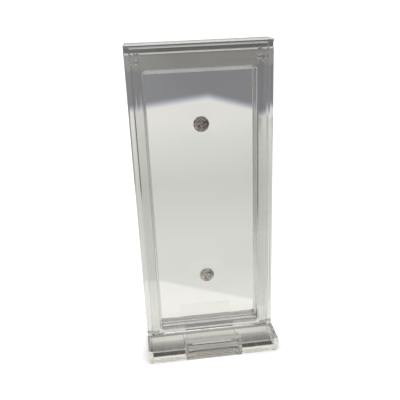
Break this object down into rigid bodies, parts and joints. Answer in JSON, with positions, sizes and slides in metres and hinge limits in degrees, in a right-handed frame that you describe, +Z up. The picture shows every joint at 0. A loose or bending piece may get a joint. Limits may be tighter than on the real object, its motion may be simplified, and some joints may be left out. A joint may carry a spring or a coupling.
{
  "type": "gemstone display box",
  "caption": "Clear upright display box that floats cut stones between stretched films in a window; the front cover swings down on pins and the foot lets it stand.",
  "frame": {"origin": "middle of the footprint on the table, at the underside of the foot", "axes": "+X to the right seen from the front, +Y to the back, +Z up; the cover faces -Y"},
  "size_m": [0.046, 0.0176, 0.1067],
  "materials": {
    "foot_clear": "clear glossy moulding",
    "clip_clear": "clear glossy moulding with ribs",
    "case_clear": "clear glossy moulding",
    "ring_clear": "clear glossy moulding",
    "film": "clear stretched film",
    "stone": "polished facets",
    "pin_clear": "clear glossy pin"
  },
  "bodies": {
    "base": {"foot": "foot_clear", "lock_clip": "clip_clear", "rear_shell": "case_clear", "rear_film_ring": "ring_clear", "rear_film": "film", "upper_stone": "stone", "lower_stone": "stone"},
    "cover": {"front_cover": "case_clear", "front_film_ring": "ring_clear", "front_film": "film", "hinge_pin_left": "pin_clear", "hinge_pin_right": "pin_clear", "snap_stud_left": "pin_clear", "snap_stud_right": "pin_clear"}
  },
  "joints": [
    {"name": "cover_hinge", "type": "hinge", "parent": "base", "child": "cover", "pos_m": [0, 0.0024, 0.0058], "axis": [1, 0, 0], "range_deg": [0, 75]}
  ]
}
